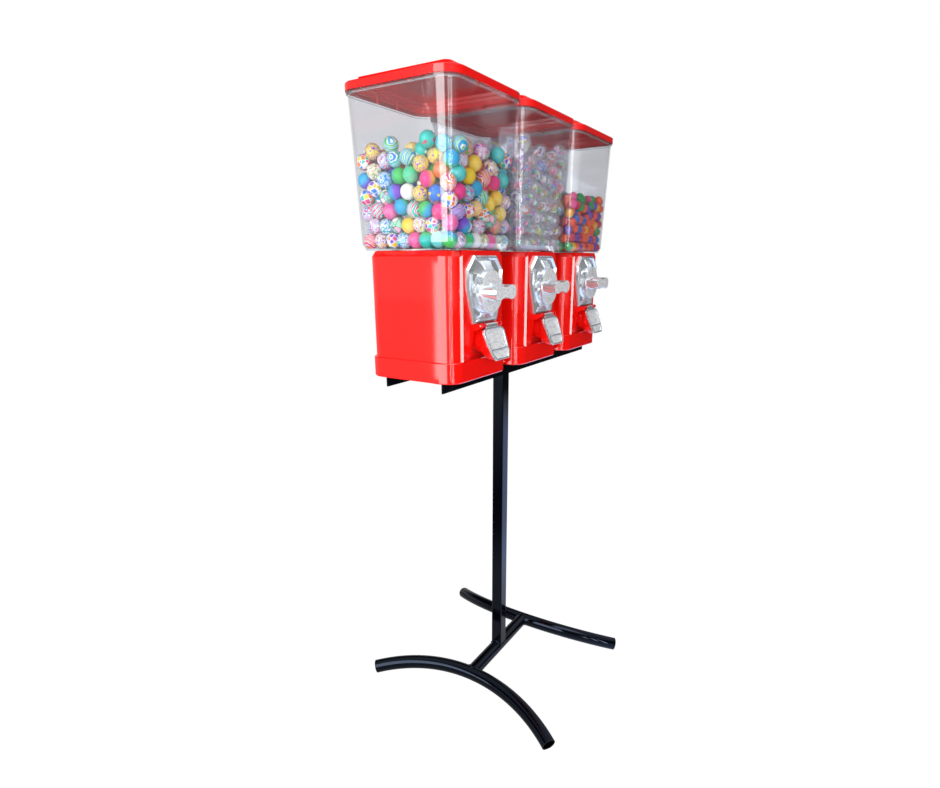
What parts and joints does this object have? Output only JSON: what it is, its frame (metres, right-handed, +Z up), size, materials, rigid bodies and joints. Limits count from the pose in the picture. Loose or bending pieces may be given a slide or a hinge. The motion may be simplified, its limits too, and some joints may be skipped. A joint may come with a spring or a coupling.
{
  "type": "gumball machine",
  "caption": "Red bulk vending machine with clear hoppers of balls and capsules in a row, coin knobs and chrome chute flaps, on a black tube stand.",
  "frame": {"origin": "on the floor, straight under the post's axis, midway between the feet", "axes": "+X along the row of heads to the right as a customer sees it, -Y out of the coin plates towards the customer, +Z up"},
  "size_m": [0.704, 0.5106, 1.3131],
  "materials": {
    "black_paint": "gloss black enamel over welded steel",
    "red_paint": "gloss red enamel",
    "red_plastic": "gloss moulded",
    "clear_plastic": "clear moulded",
    "chrome": "polished, pebbled panels",
    "zinc": "die-cast",
    "gear_plastic": "moulded",
    "white_plastic": "moulded",
    "steel": "plated",
    "ball_rubber": "swirled colours",
    "capsule_plastic": "clear shells, coloured insides",
    "candy": "glossy sugar shell, mixed colours"
  },
  "bodies": {
    "stand_and_cabinets": {"foot_left": "black_paint", "foot_right": "black_paint", "crossbar": "black_paint", "post": "black_paint", "head_plate": "black_paint", "rail_front": "black_paint", "rail_rear": "black_paint", "rail_bolts": "steel", "bouncy_balls": "ball_rubber", "toy_capsules": "capsule_plastic", "gumballs": "candy", "base_pan_left": "red_paint", "cabinet_left": "red_paint", "hopper_left": "clear_plastic", "coin_plate_left": "chrome", "mech_case_left": "zinc", "wheel_seat_left": "white_plastic", "wheel_axle_left": "steel", "chute_left": "red_paint", "hinge_pin_left": "steel", "base_pan_middle": "red_paint", "cabinet_middle": "red_paint", "hopper_middle": "clear_plastic", "coin_plate_middle": "chrome", "mech_case_middle": "zinc", "wheel_seat_middle": "white_plastic", "wheel_axle_middle": "steel", "chute_middle": "red_paint", "hinge_pin_middle": "steel", "base_pan_right": "red_paint", "cabinet_right": "red_paint", "hopper_right": "clear_plastic", "coin_plate_right": "chrome", "mech_case_right": "zinc", "wheel_seat_right": "white_plastic", "wheel_axle_right": "steel", "chute_right": "red_paint", "hinge_pin_right": "steel"},
    "knob_left": {"knob_left": "chrome", "drive_gear_left": "gear_plastic"},
    "wheel_left": {"product_wheel_left": "white_plastic"},
    "flap_left": {"flap_left": "chrome"},
    "lid_left": {"lid_left": "red_plastic"},
    "knob_middle": {"knob_middle": "chrome", "drive_gear_middle": "gear_plastic"},
    "wheel_middle": {"product_wheel_middle": "white_plastic"},
    "flap_middle": {"flap_middle": "chrome"},
    "lid_middle": {"lid_middle": "red_plastic"},
    "knob_right": {"knob_right": "chrome", "drive_gear_right": "gear_plastic"},
    "wheel_right": {"product_wheel_right": "white_plastic"},
    "flap_right": {"flap_right": "chrome"},
    "lid_right": {"lid_right": "red_plastic"}
  },
  "joints": [
    {"name": "knob_turn_left", "type": "hinge", "parent": "stand_and_cabinets", "child": "knob_left", "pos_m": [-0.236, -0.116, 0.9715], "axis": [0, 1, 0], "continuous": true},
    {"name": "wheel_turn_left", "type": "hinge", "parent": "stand_and_cabinets", "child": "wheel_left", "pos_m": [-0.236, 0, 1.02], "axis": [0, 0, 1], "continuous": true},
    {"name": "flap_swing_left", "type": "hinge", "parent": "stand_and_cabinets", "child": "flap_left", "pos_m": [-0.236, -0.1125, 0.914], "axis": [-1, 0, 0], "range_deg": [0, 70]},
    {"name": "lid_lift_left", "type": "slide", "parent": "stand_and_cabinets", "child": "lid_left", "axis": [0, 0, 1], "range_m": [0, 0.05]},
    {"name": "knob_turn_middle", "type": "hinge", "parent": "stand_and_cabinets", "child": "knob_middle", "pos_m": [0, -0.116, 0.9715], "axis": [0, 1, 0], "continuous": true},
    {"name": "wheel_turn_middle", "type": "hinge", "parent": "stand_and_cabinets", "child": "wheel_middle", "pos_m": [0, 0, 1.02], "axis": [0, 0, 1], "continuous": true},
    {"name": "flap_swing_middle", "type": "hinge", "parent": "stand_and_cabinets", "child": "flap_middle", "pos_m": [0, -0.1125, 0.914], "axis": [-1, 0, 0], "range_deg": [0, 70]},
    {"name": "lid_lift_middle", "type": "slide", "parent": "stand_and_cabinets", "child": "lid_middle", "axis": [0, 0, 1], "range_m": [0, 0.05]},
    {"name": "knob_turn_right", "type": "hinge", "parent": "stand_and_cabinets", "child": "knob_right", "pos_m": [0.236, -0.116, 0.9715], "axis": [0, 1, 0], "continuous": true},
    {"name": "wheel_turn_right", "type": "hinge", "parent": "stand_and_cabinets", "child": "wheel_right", "pos_m": [0.236, 0, 1.02], "axis": [0, 0, 1], "continuous": true},
    {"name": "flap_swing_right", "type": "hinge", "parent": "stand_and_cabinets", "child": "flap_right", "pos_m": [0.236, -0.1125, 0.914], "axis": [-1, 0, 0], "range_deg": [0, 70]},
    {"name": "lid_lift_right", "type": "slide", "parent": "stand_and_cabinets", "child": "lid_right", "axis": [0, 0, 1], "range_m": [0, 0.05]}
  ],
  "couplings": [
    {"joint": "wheel_turn_left", "follows": "knob_turn_left", "ratio": 0.5},
    {"joint": "wheel_turn_middle", "follows": "knob_turn_middle", "ratio": 0.5},
    {"joint": "wheel_turn_right", "follows": "knob_turn_right", "ratio": 0.5}
  ]
}
